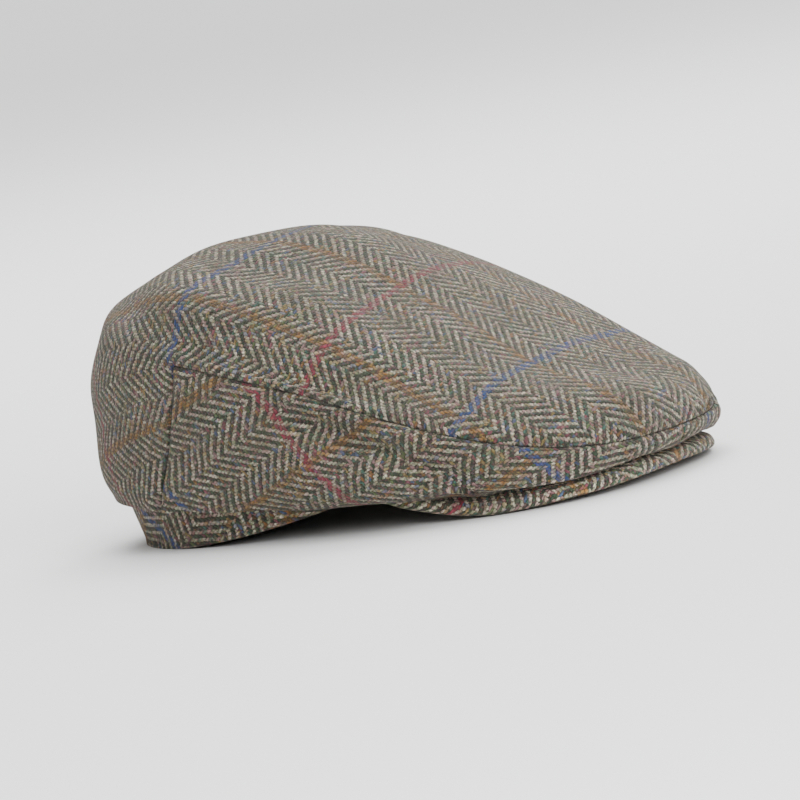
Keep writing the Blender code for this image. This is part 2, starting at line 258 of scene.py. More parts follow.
    def lip(self, angle: Array) -> Array:
        """Points where the crown turns in, on the peak in front and against the band behind."""
        fold = self.fold(angle)
        points = fold + self.inward(self.foot_ring, angle) * self.lip_inset
        behind = fold[:, 2] + self.lip_rise
        tip = self.peak_sweep_start
        over = self.peak_over(np.maximum(points[:, 0], tip), points[:, 1]) + self.seam_gap
        share = smooth_step((points[:, 0] - tip + self.lip_blend) / self.lip_blend)
        points[:, 2] = behind + (over - behind) * share
        return points

    def smooth(self, angle: Array, station: Array) -> Array:
        """Points of the crown without its dart, on smooth curves through the rings."""
        angle = np.asarray(angle, float)
        station = np.asarray(station, float) + 0 * angle
        lip, fold = self.lip(angle), self.fold(angle)
        apex = np.array([self.apex_x * self.crown_length, 0, self.apex_z * self.crown_height])
        rows = [2 * lip - fold, lip, fold]
        rows += [self.ring(ring, angle) for ring in self.rings[1:]]
        rows += [apex + 0 * lip, self.ring(self.rings[-1], angle + pi)]
        first = self.rings[0].station
        knots = [-first, 0.0] + [ring.station for ring in self.rings]
        knots = np.array(knots + [APEX, 2 * APEX - self.rings[-1].station])
        rows = np.array(rows)
        k = np.clip(np.searchsorted(knots, station, "right") - 1, 1, len(knots) - 3)
        pick = np.arange(len(angle))
        before, start, end, after = [rows[k + i, pick] for i in (-1, 0, 1, 2)]
        length = (knots[k + 1] - knots[k])[:, None]
        leave = (end - before) * length / (knots[k + 1] - knots[k - 1])[:, None]
        arrive = (after - start) * length / (knots[k + 2] - knots[k])[:, None]
        t = (station - knots[k])[:, None] / length
        t2, t3 = t ** 2, t ** 3
        return (start * (2 * t3 - 3 * t2 + 1) + leave * (t3 - 2 * t2 + t)
                + end * (3 * t2 - 2 * t3) + arrive * (t3 - t2))

    def outward(self, angle: Array, station: Array) -> Array:
        """Directions out of the crown."""
        station = np.minimum(station, APEX - 3 * RISE)
        across = self.smooth(angle + TURN, station) - self.smooth(angle - TURN, station)
        up = self.smooth(angle, station + RISE) - self.smooth(angle, station - RISE)
        return unit(np.cross(across, up))

    def speed_round(self, angle: Array, station: Array) -> Array:
        """Metres round the crown for a radian."""
        step = self.smooth(angle + TURN, station) - self.smooth(angle - TURN, station)
        return np.linalg.norm(step, axis=-1) / (2 * TURN)

    def speed_up(self, angle: Array, station: Array) -> Array:
        """Metres up the crown for a whole station."""
        step = self.smooth(angle, station + RISE) - self.smooth(angle, station - RISE)
        return np.linalg.norm(step, axis=-1) / (2 * RISE)

    def upright_seam(self, station: Array) -> Array:
        """Angle of the upright seam, which leans back towards its foot."""
        share = np.minimum(station / self.seam_station, 1)
        return self.upright_seam_foot + (self.upright_seam_top - self.upright_seam_foot) * share

    def cleft(self, angle: Array, station: Array) -> Array:
        """Depth of the dart at the middle of the back."""
        half_angle = self.cleft_half_width / (self.crown_width / 2)
        deepest = self.cleft_deepest_station
        low = self.cleft_share_at_fold
        below = low + (1 - low) * smooth_step(station / deepest)
        below = below * smooth_step(station / self.rings[0].station)
        above = 1 - smooth_step((station - deepest) / (self.cleft_end_station - deepest))
        along = np.where(station < deepest, below, above)
        behind = np.abs(np.abs(angle) - pi)
        return self.cleft_depth * along * np.exp(-(behind / half_angle) ** 2)

    def cloth(self, angle: Array, station: Array, sink: Array) -> Array:
        """Points of the cloth's outer side.

        Args:
            angle: Angles round the cap.
            station: Stations up the crown.
            sink: How far each point lies under the smooth surface, in metres.

        Returns:
            One point for each angle and station.
        """
        points = self.smooth(angle, station)
        return points - self.outward(angle, station) * (self.cleft(angle, station) + sink)[:, None]


@dataclass
class Seam:
    """How cloth rolls down into a seam."""
    depth: float = 0.0010
    reach: float = 0.0030
    puff: float = 0.0006
    puff_at: float = 0.0050
    pucker: float = 0.0006
    pucker_reach: float = 0.008
    pucker_length: float = 0.014
    pucker_start: float = 0.001

    def sink(self, distance: Array, along: Array, seed: int) -> Array:
        """Depth of the cloth near a seam.

        Args:
            distance: Metres from the seam.
            along: Metres along the seam, which places the puckers.
            seed: Picks the puckers.

        Returns:
            Depth under the smooth surface, in metres.
        """
        near = np.clip(distance / self.reach, 0, 1)
        roll = self.depth * (1 - np.sqrt(near * (2 - near)))
        puff = self.puff * np.exp(-((distance - self.puff_at) / self.puff_at) ** 2)
        pucker = ripple(along[:, None], self.pucker_length, seed)
        pucker = self.pucker * pucker * np.exp(-(distance / self.pucker_reach) ** 2)
        return roll - puff + pucker * smooth_step(distance / self.pucker_start)


@dataclass
class Pattern:
    """How a pattern piece is flattened: slack and taut bound an edge's weight, pin holds."""
    rounds: int = 60
    slack: float = 0.02
    taut: float = 20
    pin: float = 1e4

    def flatten(self, points: Array, faces: Array, start: Array,
                held: Array) -> Array:
        """Lay a curved piece flat with as little stretch as it allows.

        Args:
            points: Places of the corners in space.
            faces: Three corner numbers for each triangle.
            start: A first guess of the flat places.
            held: Numbers of the corners that keep to the centre line, where U is 0.

        Returns:
            The flat place of each corner.
        """
        count = len(points)
        a, b, c = points[faces[:, 0]], points[faces[:, 1]], points[faces[:, 2]]
        ab, ac = b - a, c - a
        length = np.linalg.norm(ab, axis=1)
        x = np.einsum("ij,ij->i", ac, ab) / length
        y = np.linalg.norm(np.cross(ab, ac), axis=1) / length
        local = np.zeros((len(faces), 3, 2))
        local[:, 1, 0] = length
        local[:, 2] = np.stack([x, y], -1)
        matrix = np.zeros((count, count))
        edges, weights = [], []
        for i, j, k in ((0, 1, 2), (1, 2, 0), (2, 0, 1)):
            p, q = local[:, i] - local[:, k], local[:, j] - local[:, k]
            area = p[:, 0] * q[:, 1] - p[:, 1] * q[:, 0]
            weight = np.clip(np.einsum("ij,ij->i", p, q) / area, self.slack, self.taut) / 2
            for row, column, sign in ((i, i, 1), (j, j, 1), (i, j, -1), (j, i, -1)):
                np.add.at(matrix, (faces[:, row], faces[:, column]), sign * weight)
            edges.append((i, j))
            weights.append(weight)
        held_matrix = matrix.copy()
        held_matrix[held, held] += self.pin
        inverse_u = np.linalg.inv(held_matrix)
        pin = int(held[0])
        matrix[pin, pin] += self.pin
        inverse_v = np.linalg.inv(matrix)
        flat = start.copy()
        pinned = self.pin * start[pin, 1] * (np.arange(count) == pin)
        for _ in range(self.rounds):
            turn = np.zeros((len(faces), 2, 2))
            for (i, j), weight in zip(edges, weights):
                flat_edge = flat[faces[:, i]] - flat[faces[:, j]]
                local_edge = local[:, i] - local[:, j]
                turn += weight[:, None, None] * flat_edge[:, :, None] * local_edge[:, None, :]
            angle = np.arctan2(turn[:, 1, 0] - turn[:, 0, 1], turn[:, 0, 0] + turn[:, 1, 1])
            rotation = np.stack([np.cos(angle), -np.sin(angle), np.sin(angle), np.cos(angle)], -1)
            rotation = rotation.reshape(-1, 2, 2)
            pull = np.zeros((count, 2))
            for (i, j), weight in zip(edges, weights):
                edge = np.einsum("fij,fj->fi", rotation, local[:, i] - local[:, j])
                np.add.at(pull, faces[:, i], weight[:, None] * edge)
                np.add.at(pull, faces[:, j], -weight[:, None] * edge)
            flat = np.stack([inverse_u @ pull[:, 0], inverse_v @ (pull[:, 1] + pinned)], -1)
        return flat


def grid_faces(columns: int, rows: int, first: int = 0) -> Array:
    """Triangles of a grid of corners that is numbered column by column."""
    i, j = np.meshgrid(np.arange(columns), np.arange(rows), indexing="ij")
    a = (first + i * (rows + 1) + j).ravel()
    b, c, d = a + rows + 1, a + rows + 2, a + 1
    return np.concatenate([np.stack([a, b, c], -1), np.stack([a, c, d], -1)])


def resample(table: Array, x: Array, y: Array) -> Array:
    """Read a grid of values between its corners on smooth curves.

    Args:
        table: Values at the corners, as columns by rows by parts.
        x: Shares along the columns, 0 to 1.
        y: Shares along the rows, 0 to 1.

    Returns:
        The parts at each place.
    """
    def padded(values: Array) -> Array:
        """Carry the first axis one corner on at both ends."""
        first, last = 2 * values[:1] - values[1:2], 2 * values[-1:] - values[-2:-1]
        return np.concatenate([first, values, last])

    table = padded(table)
    table = np.swapaxes(padded(np.swapaxes(table, 0, 1)), 0, 1)
    result = 0
    place = [x * (table.shape[0] - 3), y * (table.shape[1] - 3)]
    low = [np.clip(np.floor(p).astype(int), 0, table.shape[n] - 4) for n, p in enumerate(place)]
    weights = []
    for p, k in zip(place, low):
        t = p - k
        weights.append([(-t ** 3 + 2 * t ** 2 - t) / 2, (3 * t ** 3 - 5 * t ** 2 + 2) / 2,
                        (-3 * t ** 3 + 4 * t ** 2 + t) / 2, (t ** 3 - t ** 2) / 2])
    for i in range(4):
        for j in range(4):
            share = (weights[0][i] * weights[1][j])[:, None]
            result = result + share * table[low[0] + i, low[1] + j]
    return result


class Blend(Enum):
    """How a ramp passes from one colour to the next."""
    SMOOTH = "LINEAR"
    STEPPED = "CONSTANT"


class Lamp(Enum):
    """The kinds of light in the studio."""
    SOFTBOX = "AREA"
    SKY = "SUN"


class Signal:
    """A number that varies over a surface, held as an output of a material's nodes.

    Below and above give 1 where the signal is under or over a limit, or else 0.
    """

    def __init__(self, tree: bpy.types.NodeTree, socket: Socket) -> None:
        """Hold a socket of a node tree."""
        self.tree = tree
        self.socket = socket

    def _math(self, operation: str, *others: "Signal | float") -> "Signal":
        """Add a Math node that works on this signal and others."""
        node = self.tree.nodes.new("ShaderNodeMath")
        node.operation = operation
        self.tree.links.new(self.socket, node.inputs[0])
        for place, other in enumerate(others, 1):
            if isinstance(other, Signal):
                self.tree.links.new(other.socket, node.inputs[place])
            else:
                node.inputs[place].default_value = other
        return Signal(self.tree, node.outputs[0])

    __add__ = partialmethod(_math, "ADD")
    __sub__ = partialmethod(_math, "SUBTRACT")
    __mul__ = partialmethod(_math, "MULTIPLY")
    __truediv__ = partialmethod(_math, "DIVIDE")
    floor = partialmethod(_math, "FLOOR")
    fraction = partialmethod(_math, "FRACT")
    sine = partialmethod(_math, "SINE")
    power = partialmethod(_math, "POWER")
    below = partialmethod(_math, "LESS_THAN")
    above = partialmethod(_math, "GREATER_THAN")
    higher = partialmethod(_math, "MAXIMUM")

    def wrapped(self, top: float) -> "Signal":
        """Remainder from 0 to top, also for numbers under 0."""
        return self._math("WRAP", top, 0.0)

    def eased(self, low: float, high: float) -> "Signal":
        """Ease from 0 at low to 1 at high."""
        node = self.tree.nodes.new("ShaderNodeMapRange")
        node.interpolation_type = "SMOOTHSTEP"
        self.tree.links.new(self.socket, node.inputs["Value"])
        node.inputs["From Min"].default_value = low
        node.inputs["From Max"].default_value = high
        return Signal(self.tree, node.outputs["Result"])


@dataclass(frozen=True)
class Tweed:
    """A herringbone wool tweed with an overcheck, woven yarn by yarn.

    The colours are linear. Lengths are in metres on the flat cloth. Where drawn is 0 each float is
    square to its yarn, and where it is 1 the floats lie in smooth ribs along the twill. A grain is
    a noise, as its waves a metre across and along and its detail, and an edge is where a noise
    starts and ends to show. Worn and faded are the most and the least of a line's strength.
    """
    name: str
    yarn: float = 0.00127
    column_yarns: int = 10
    drawn: float = 0.6
    yarn_bulge: float = 0.6
    float_bulge: float = 0.45
    warp_shades: tuple[Shade, ...] = (
        (0.090, 0.120, 0.070), (0.36, 0.225, 0.165), (0.200, 0.255, 0.155), (0.56, 0.50, 0.390),
        (0.35, 0.205, 0.185), (0.165, 0.205, 0.190))
    weft_shades: tuple[Shade, ...] = (
        (0.110, 0.062, 0.034), (0.020, 0.018, 0.016), (0.045, 0.078, 0.040), (0.030, 0.027, 0.030),
        (0.120, 0.060, 0.055), (0.062, 0.078, 0.080))
    heather_edge: tuple[float, float] = (0.35, 0.65)
    flecks: tuple[Shade, ...] = (
        (0.04, 0.13, 0.10), (0.26, 0.12, 0.04), (0.07, 0.11, 0.22), (0.24, 0.06, 0.09),
        (0.10, 0.15, 0.05), (0.30, 0.21, 0.07), (0.36, 0.20, 0.20))
    fleck_yarns: int = 3
    fleck_share: float = 0.28
    fleck_strength: float = 0.6
    felted_shade: Shade = (0.135, 0.116, 0.080)
    felted_edge: tuple[float, float] = (0.38, 0.68)
    felted_warp: float = 0.4
    felted_weft: float = 0.2
    warp_line: Shade = (0.25, 0.115, 0.024)
    weft_lines: tuple[Shade, Shade] = ((0.028, 0.062, 0.20), (0.25, 0.036, 0.06))
    warp_line_yarns: int = 44
    weft_line_yarns: int = 56
    line_yarns: int = 3
    line_edge: tuple[float, float] = (0.36, 0.62)
    worn: tuple[float, float] = (0.65, 0.2)
    faded: tuple[float, float] = (0.5, 0.42)
    warp_line_crossed: float = 0.45
    weft_line_crossed: float = 0.4
    shift: tuple[float, float] = (0.0, 0.0)
    stretch: tuple[float, float] = (1.0, 1.0)
    skew: tuple[float, float] = (0.0, 0.0)
    # Partly the cloth's own tone and partly painted light: it scales each piece's colour, and the
    # band and the peak get more of it to stand in for light that the lamps don't bring to them.
    tone_and_painted_light: float = 1.0
    # Painted shade between the yarns: at the lowest places the colour keeps only this share, rising
    # to full colour on the raised yarns.
    painted_crevice_shade: float = 0.26
    crevice_shade_top: float = 0.85
    relief: float = 0.0006
    relief_strength: float = 0.9
    fibre_relief: float = 0.5
    fibre_contrast: float = 2.4
    waver: float = 0.0014
    fuzz: float = 0.0018
    hairiness: float = 2.6
    hair_edge: float = 0.30
    clouds: float = 0.5
    mottle: float = 2.4
    waver_grain: Grain = (90.0, 60.0, 2.0)
    fuzz_grain: Grain = (900.0, 900.0, 2.0)
    hair_grain: Grain = (1500.0, 1500.0, 3.0)
    felted_grain: Grain = (55.0, 35.0, 3.0)
    worn_grain: Grain = (260.0, 260.0, 2.0)
    faded_grain: Grain = (330.0, 330.0, 2.0)
    cloud_grain: Grain = (28.0, 28.0, 3.0)
    mottle_grain: Grain = (520.0, 520.0, 3.0)
    relief_grain: Grain = (2600.0, 2600.0, 2.0)
    heather_grain: Grain = (17.3, 360.0, 3.0)
    fibre_grain: Grain = (2300.0, 520.0, 2.0)
    grain_roughness: float = 0.6

    def build(self) -> bpy.types.Material:
        """Make the material's nodes.

        Returns:
            The material, which reads the UV map named cloth.
        """
        material = bpy.data.materials.new(self.name)
        material.use_nodes = True
        tree = material.node_tree
        shader = tree.nodes["Principled BSDF"]
        for name, value in WOOL.items():
            shader.inputs[name].default_value = value
        u, v = self._cloth_places(tree)
        warp_number, weft_number = (u / self.yarn).floor(), (v / self.yarn).floor()
        height, on_top = self._weave(u, v, warp_number, weft_number)

        warp = self._yarn_colour(self.warp_shades, u, v, warp_number)
        weft = self._yarn_colour(self.weft_shades, v, u, weft_number)
        felted = self._noise(u, v, self.felted_grain).eased(*self.felted_edge)
        warp = self._mix(warp, self.felted_shade, felted * self.felted_warp)
        weft = self._mix(weft, self.felted_shade, felted * self.felted_weft)
        line = warp_number.wrapped(self.warp_line_yarns).below(self.line_yarns - 0.5)
        line = line * self._patchy(self._noise(v, u, self.worn_grain), self.worn)
        warp = self._mix(warp, self.warp_line, line)
        weft = self._mix(weft, self.warp_line, line * self.warp_line_crossed)
        line = weft_number.wrapped(self.weft_line_yarns).below(self.line_yarns - 0.5)
        line = line * self._patchy(self._noise(u, v, self.faded_grain), self.faded)
        which = (weft_number / self.weft_line_yarns).floor().wrapped(2.0)
        line_colour = self._mix(*self.weft_lines, which)
        weft = self._mix(weft, line_colour, line)
        warp = self._mix(warp, line_colour, line * self.weft_line_crossed)
        # Painted shade: the colour is darkened in the low places between the yarns, where the
        # raised yarns would shade them.
        painted_crevice_shade = height.eased(0.0, self.crevice_shade_top) * (1 - self.painted_crevice_shade) + self.painted_crevice_shade
        clouds = self._noise(u, v, self.cloud_grain) * self.clouds + (1 - self.clouds / 2)
        mottled = (self._noise(v, u, self.mottle_grain) - 0.5) * self.mottle + 1.0
        # The whole colour is scaled by the piece's brightness, which is partly the cloth's tone and
        # partly painted light.
        shade = painted_crevice_shade * clouds * mottled * self.tone_and_painted_light
        colour = self._scaled(self._mix(weft, warp, on_top), shade)
        tree.links.new(colour, shader.inputs["Base Color"])

        fibres = self._noise(u, v, self.relief_grain) * self.fibre_relief
        bump = tree.nodes.new("ShaderNodeBump")
        bump.inputs["Distance"].default_value = self.relief
        bump.inputs["Strength"].default_value = self.relief_strength
        tree.links.new((height + fibres).socket, bump.inputs["Height"])
        tree.links.new(bump.outputs["Normal"], shader.inputs["Normal"])
        return material

    def _cloth_places(self, tree: bpy.types.NodeTree) -> tuple[Signal, Signal]:
        """Places on the flat cloth, with the slight waver of real yarns."""
        cloth = tree.nodes.new("ShaderNodeUVMap")
        cloth.uv_map = "cloth"
        split = tree.nodes.new("ShaderNodeSeparateXYZ")
        tree.links.new(cloth.outputs["UV"], split.inputs[0])
        across = Signal(tree, split.outputs["X"])
        along = Signal(tree, split.outputs["Y"])
        u = (across + along * self.skew[0]) / self.stretch[0] + self.shift[0]
        v = (along + across * self.skew[1]) / self.stretch[1] + self.shift[1]
        places = []
        for first, second in ((u, v), (v, u)):
            waver = self._noise(first, second, self.waver_grain) * self.waver
            fuzz = (self._noise(first, second, self.fuzz_grain) - 0.5) * self.fuzz
            places.append(first + waver + fuzz)
        return tuple(places)

    def _weave(self, u: Signal, v: Signal, warp_number: Signal,
               weft_number: Signal) -> tuple[Signal, Signal]:
        """Lay the yarns over and under each other.

        Args:
            u: Places across the warp.
            v: Places along the warp.
            warp_number: Numbers of the warp yarns.
            weft_number: Numbers of the weft yarns.

        Returns:
            Height of the upper yarn, and how far the warp lies on top, from 0 to 1.
        """
        across, along = u / self.yarn, v / self.yarn
        column = (warp_number / self.column_yarns).floor().wrapped(2.0)
        slant = column * -2.0 + 1.0
        warp_step = warp_number * (1 - self.drawn) + (across - 0.5) * self.drawn
        weft_step = weft_number * (1 - self.drawn) + (along - 0.5) * self.drawn
        warp_phase = (slant * warp_step + along).wrapped(4.0)
        weft_phase = (slant * across + weft_step + column).wrapped(4.0)
        heights = []
        for place, phase, shown in ((across, warp_phase, warp_phase.below(2.0)),
                                    (along, weft_phase - 2.0, weft_phase.above(2.0))):
            bulge = (place.fraction() * pi).sine().power(self.yarn_bulge)
            bow = (phase * (pi / 2)).sine().higher(0.0).power(self.float_bulge)
            heights.append(bulge * bow * shown)
        warp, weft = heights
        hairs = (self._noise(u, v, self.hair_grain) - 0.5) * self.hairiness
        return warp.higher(weft), (warp - weft + hairs).eased(-self.hair_edge, self.hair_edge)

    def _patchy(self, noise: Signal, strength: tuple[float, float]) -> Signal:
        """Strength of a coloured line, which is weaker in patches."""
        return noise.eased(*self.line_edge) * strength[0] + strength[1]

    @staticmethod
    def _vector(first: Signal, second: Signal) -> Socket:
        """A vector with two signals as its X and Y."""
        node = first.tree.nodes.new("ShaderNodeCombineXYZ")
        first.tree.links.new(first.socket, node.inputs[0])
        first.tree.links.new(second.socket, node.inputs[1])
        return node.outputs[0]

    def _noise(self, u: Signal, v: Signal, grain: Grain) -> Signal:
        """Noise on the cloth."""
        across, along, detail = grain
        noise = u.tree.nodes.new("ShaderNodeTexNoise")
        noise.inputs["Scale"].default_value = 1.0
        noise.inputs["Detail"].default_value = detail
        noise.inputs["Roughness"].default_value = self.grain_roughness
        u.tree.links.new(self._vector(u * across, v * along), noise.inputs["Vector"])
        return Signal(u.tree, noise.outputs["Fac"])

    @staticmethod
    def _mix(first: Socket | Shade, second: Socket | Shade, share: Signal) -> Socket:
        """Mix two colours, each a socket or a fixed colour."""
        node = share.tree.nodes.new("ShaderNodeMix")
        node.data_type = "RGBA"
        share.tree.links.new(share.socket, node.inputs["Factor"])
        for name, colour in (("A", first), ("B", second)):
            target = next(s for s in node.inputs if s.name == name and s.type == "RGBA")
            if isinstance(colour, tuple):
                target.default_value = (*colour, 1)
            else:
                share.tree.links.new(colour, target)
        return next(s for s in node.outputs if s.type == "RGBA")

    @staticmethod
    def _scaled(colour: Socket, share: Signal) -> Socket:
        """Brighten or darken a colour."""
        node = share.tree.nodes.new("ShaderNodeVectorMath")
        node.operation = "SCALE"
        share.tree.links.new(colour, node.inputs[0])
        share.tree.links.new(share.socket, node.inputs["Scale"])
        return node.outputs[0]

    @staticmethod
    def _ramp(place: Signal, blend: Blend, shades: tuple[Shade, ...], low: float,
              step: float) -> Socket:
        """Colours along a ramp.

        Args:
            place: Where on the ramp each point of the surface lies.
            blend: How one colour passes to the next.
            shades: The colours in order.
            low: Place of the first colour.
            step: Distance from each colour to the next.

        Returns:
            The colour at each point.
        """
        ramp = place.tree.nodes.new("ShaderNodeValToRGB")
        ramp.color_ramp.interpolation = blend.value
        stops = ramp.color_ramp.elements
        while len(stops) < len(shades):
            stops.new(0.5)
        for number, (stop, shade) in enumerate(zip(stops, shades)):
            stop.position = low + number * step
            stop.color = (*shade, 1)
        place.tree.links.new(place.socket, ramp.inputs[0])
        return ramp.outputs["Color"]

    def _yarn_colour(self, shades: tuple[Shade, ...], across: Signal, along: Signal,
                     number: Signal) -> Socket:
        """Colour of one set of yarns: heathered shades along each yarn, with stray flecks."""
        low, high = self.heather_edge
        heather = self._ramp(self._noise(number, along, self.heather_grain), Blend.SMOOTH, shades,
                             low, (high - low) / (len(shades) - 1))
        chance = number.tree.nodes.new("ShaderNodeTexWhiteNoise")
        chance.noise_dimensions = "2D"
        cell = (along / (self.yarn * self.fleck_yarns)).floor()
        number.tree.links.new(self._vector(number, cell), chance.inputs["Vector"])
        roll = Signal(number.tree, chance.outputs["Value"])
        flecks = self._ramp(roll / self.fleck_share, Blend.STEPPED, self.flecks, 0.0,
                            1 / len(self.flecks))
        colour = self._mix(heather, flecks, roll.below(self.fleck_share) * self.fleck_strength)
        fibres = self._noise(across, along, self.fibre_grain)
        return self._scaled(colour, (fibres - 0.5) * self.fibre_contrast + 1.0)


def linked(name: str, data: bpy.types.ID) -> bpy.types.Object:
    """Put a new object in the scene.

    Args:
        name: The object's name.
        data: Its mesh, light or camera.

    Returns:
        The object.
    """
    item = bpy.data.objects.new(name, data)
    bpy.context.scene.collection.objects.link(item)
    return item


def turned(flat: Array, angle: float) -> Array:
    """Flat places turned round their origin."""
    c, s = cos(angle), sin(angle)
    return flat @ np.array([[c, s], [-s, c]])


def finished_piece(name: str, grid: bmesh.types.BMesh, finish: bpy.types.Material,
                   nodes: tuple[str, ...], wall: float) -> bpy.types.Object:
    """Turn a bmesh into a cloth piece in place of CAD nodes.

    Args:
        name: The piece's name.
        grid: The outer side, or a closed piece, with its UV map; it is freed.
        finish: The piece's material.
        nodes: The CAD nodes it stands for.
        wall: Thickness of the cloth, inwards, or 0 for a closed piece.

    Returns:
        The piece, riding on the frame.
    """
    mesh = bpy.data.meshes.new(name)
    grid.to_mesh(mesh)
    grid.free()
    mesh.materials.append(finish)
    mesh.shade_smooth()
    piece = linked(name, mesh)
    if wall:
        shell = piece.modifiers.new("wall", "SOLIDIFY")
        shell.thickness = wall
        shell.offset = -1
    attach(piece, ROOT)
    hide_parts(*nodes)
    log.info("%s: %d faces", name, len(mesh.polygons))
    return piece


def laid_grid(columns: int, rows: int, points: Array, flat: Array) -> bmesh.types.BMesh:
    """A bmesh grid with its corners and its UV map in place.

    Args:
        columns: Faces along the first axis.
        rows: Faces along the second axis.
        points: Places of the corners, column by column.
        flat: Their places on the flat cloth.

    Returns:
        The grid.
    """
    grid = bmesh.new()
    bmesh.ops.create_grid(grid, x_segments=columns, y_segments=rows, size=1)
    layer = grid.loops.layers.uv.new("cloth")
    number = {}
    for vertex in grid.verts:
        i = round((vertex.co.x + 1) / 2 * columns)
        j = round((vertex.co.y + 1) / 2 * rows)
        number[vertex] = i * (rows + 1) + j
    for vertex, place in number.items():
        vertex.co = points[place]
    for face in grid.faces:
        for loop in face.loops:
            loop[layer].uv = flat[number[loop.vert]]
    grid.normal_update()
    facing = sum(f.calc_area() * f.normal.dot(f.calc_center_median() - INSIDE) for f in grid.faces)
    if facing < 0:
        bmesh.ops.reverse_faces(grid, faces=grid.faces)
    return grid


def joined(grids: list[bmesh.types.BMesh]) -> bmesh.types.BMesh:
    """Join grids into the first one and merge the corners that meet."""
    whole = grids[0]
    for other in grids[1:]:
        mesh = bpy.data.meshes.new("part")
        other.to_mesh(mesh)
        other.free()
        whole.from_mesh(mesh)
        bpy.data.meshes.remove(mesh)
    bmesh.ops.remove_doubles(whole, verts=whole.verts, dist=WELD)
    return whole


def grid_shares(columns: int, rows: int) -> tuple[Array, Array]:
    """Shares from 0 to 1 of a grid's corners, column by column."""
    i, j = np.meshgrid(np.arange(columns + 1), np.arange(rows + 1), indexing="ij")
    return i.ravel() / columns, j.ravel() / rows


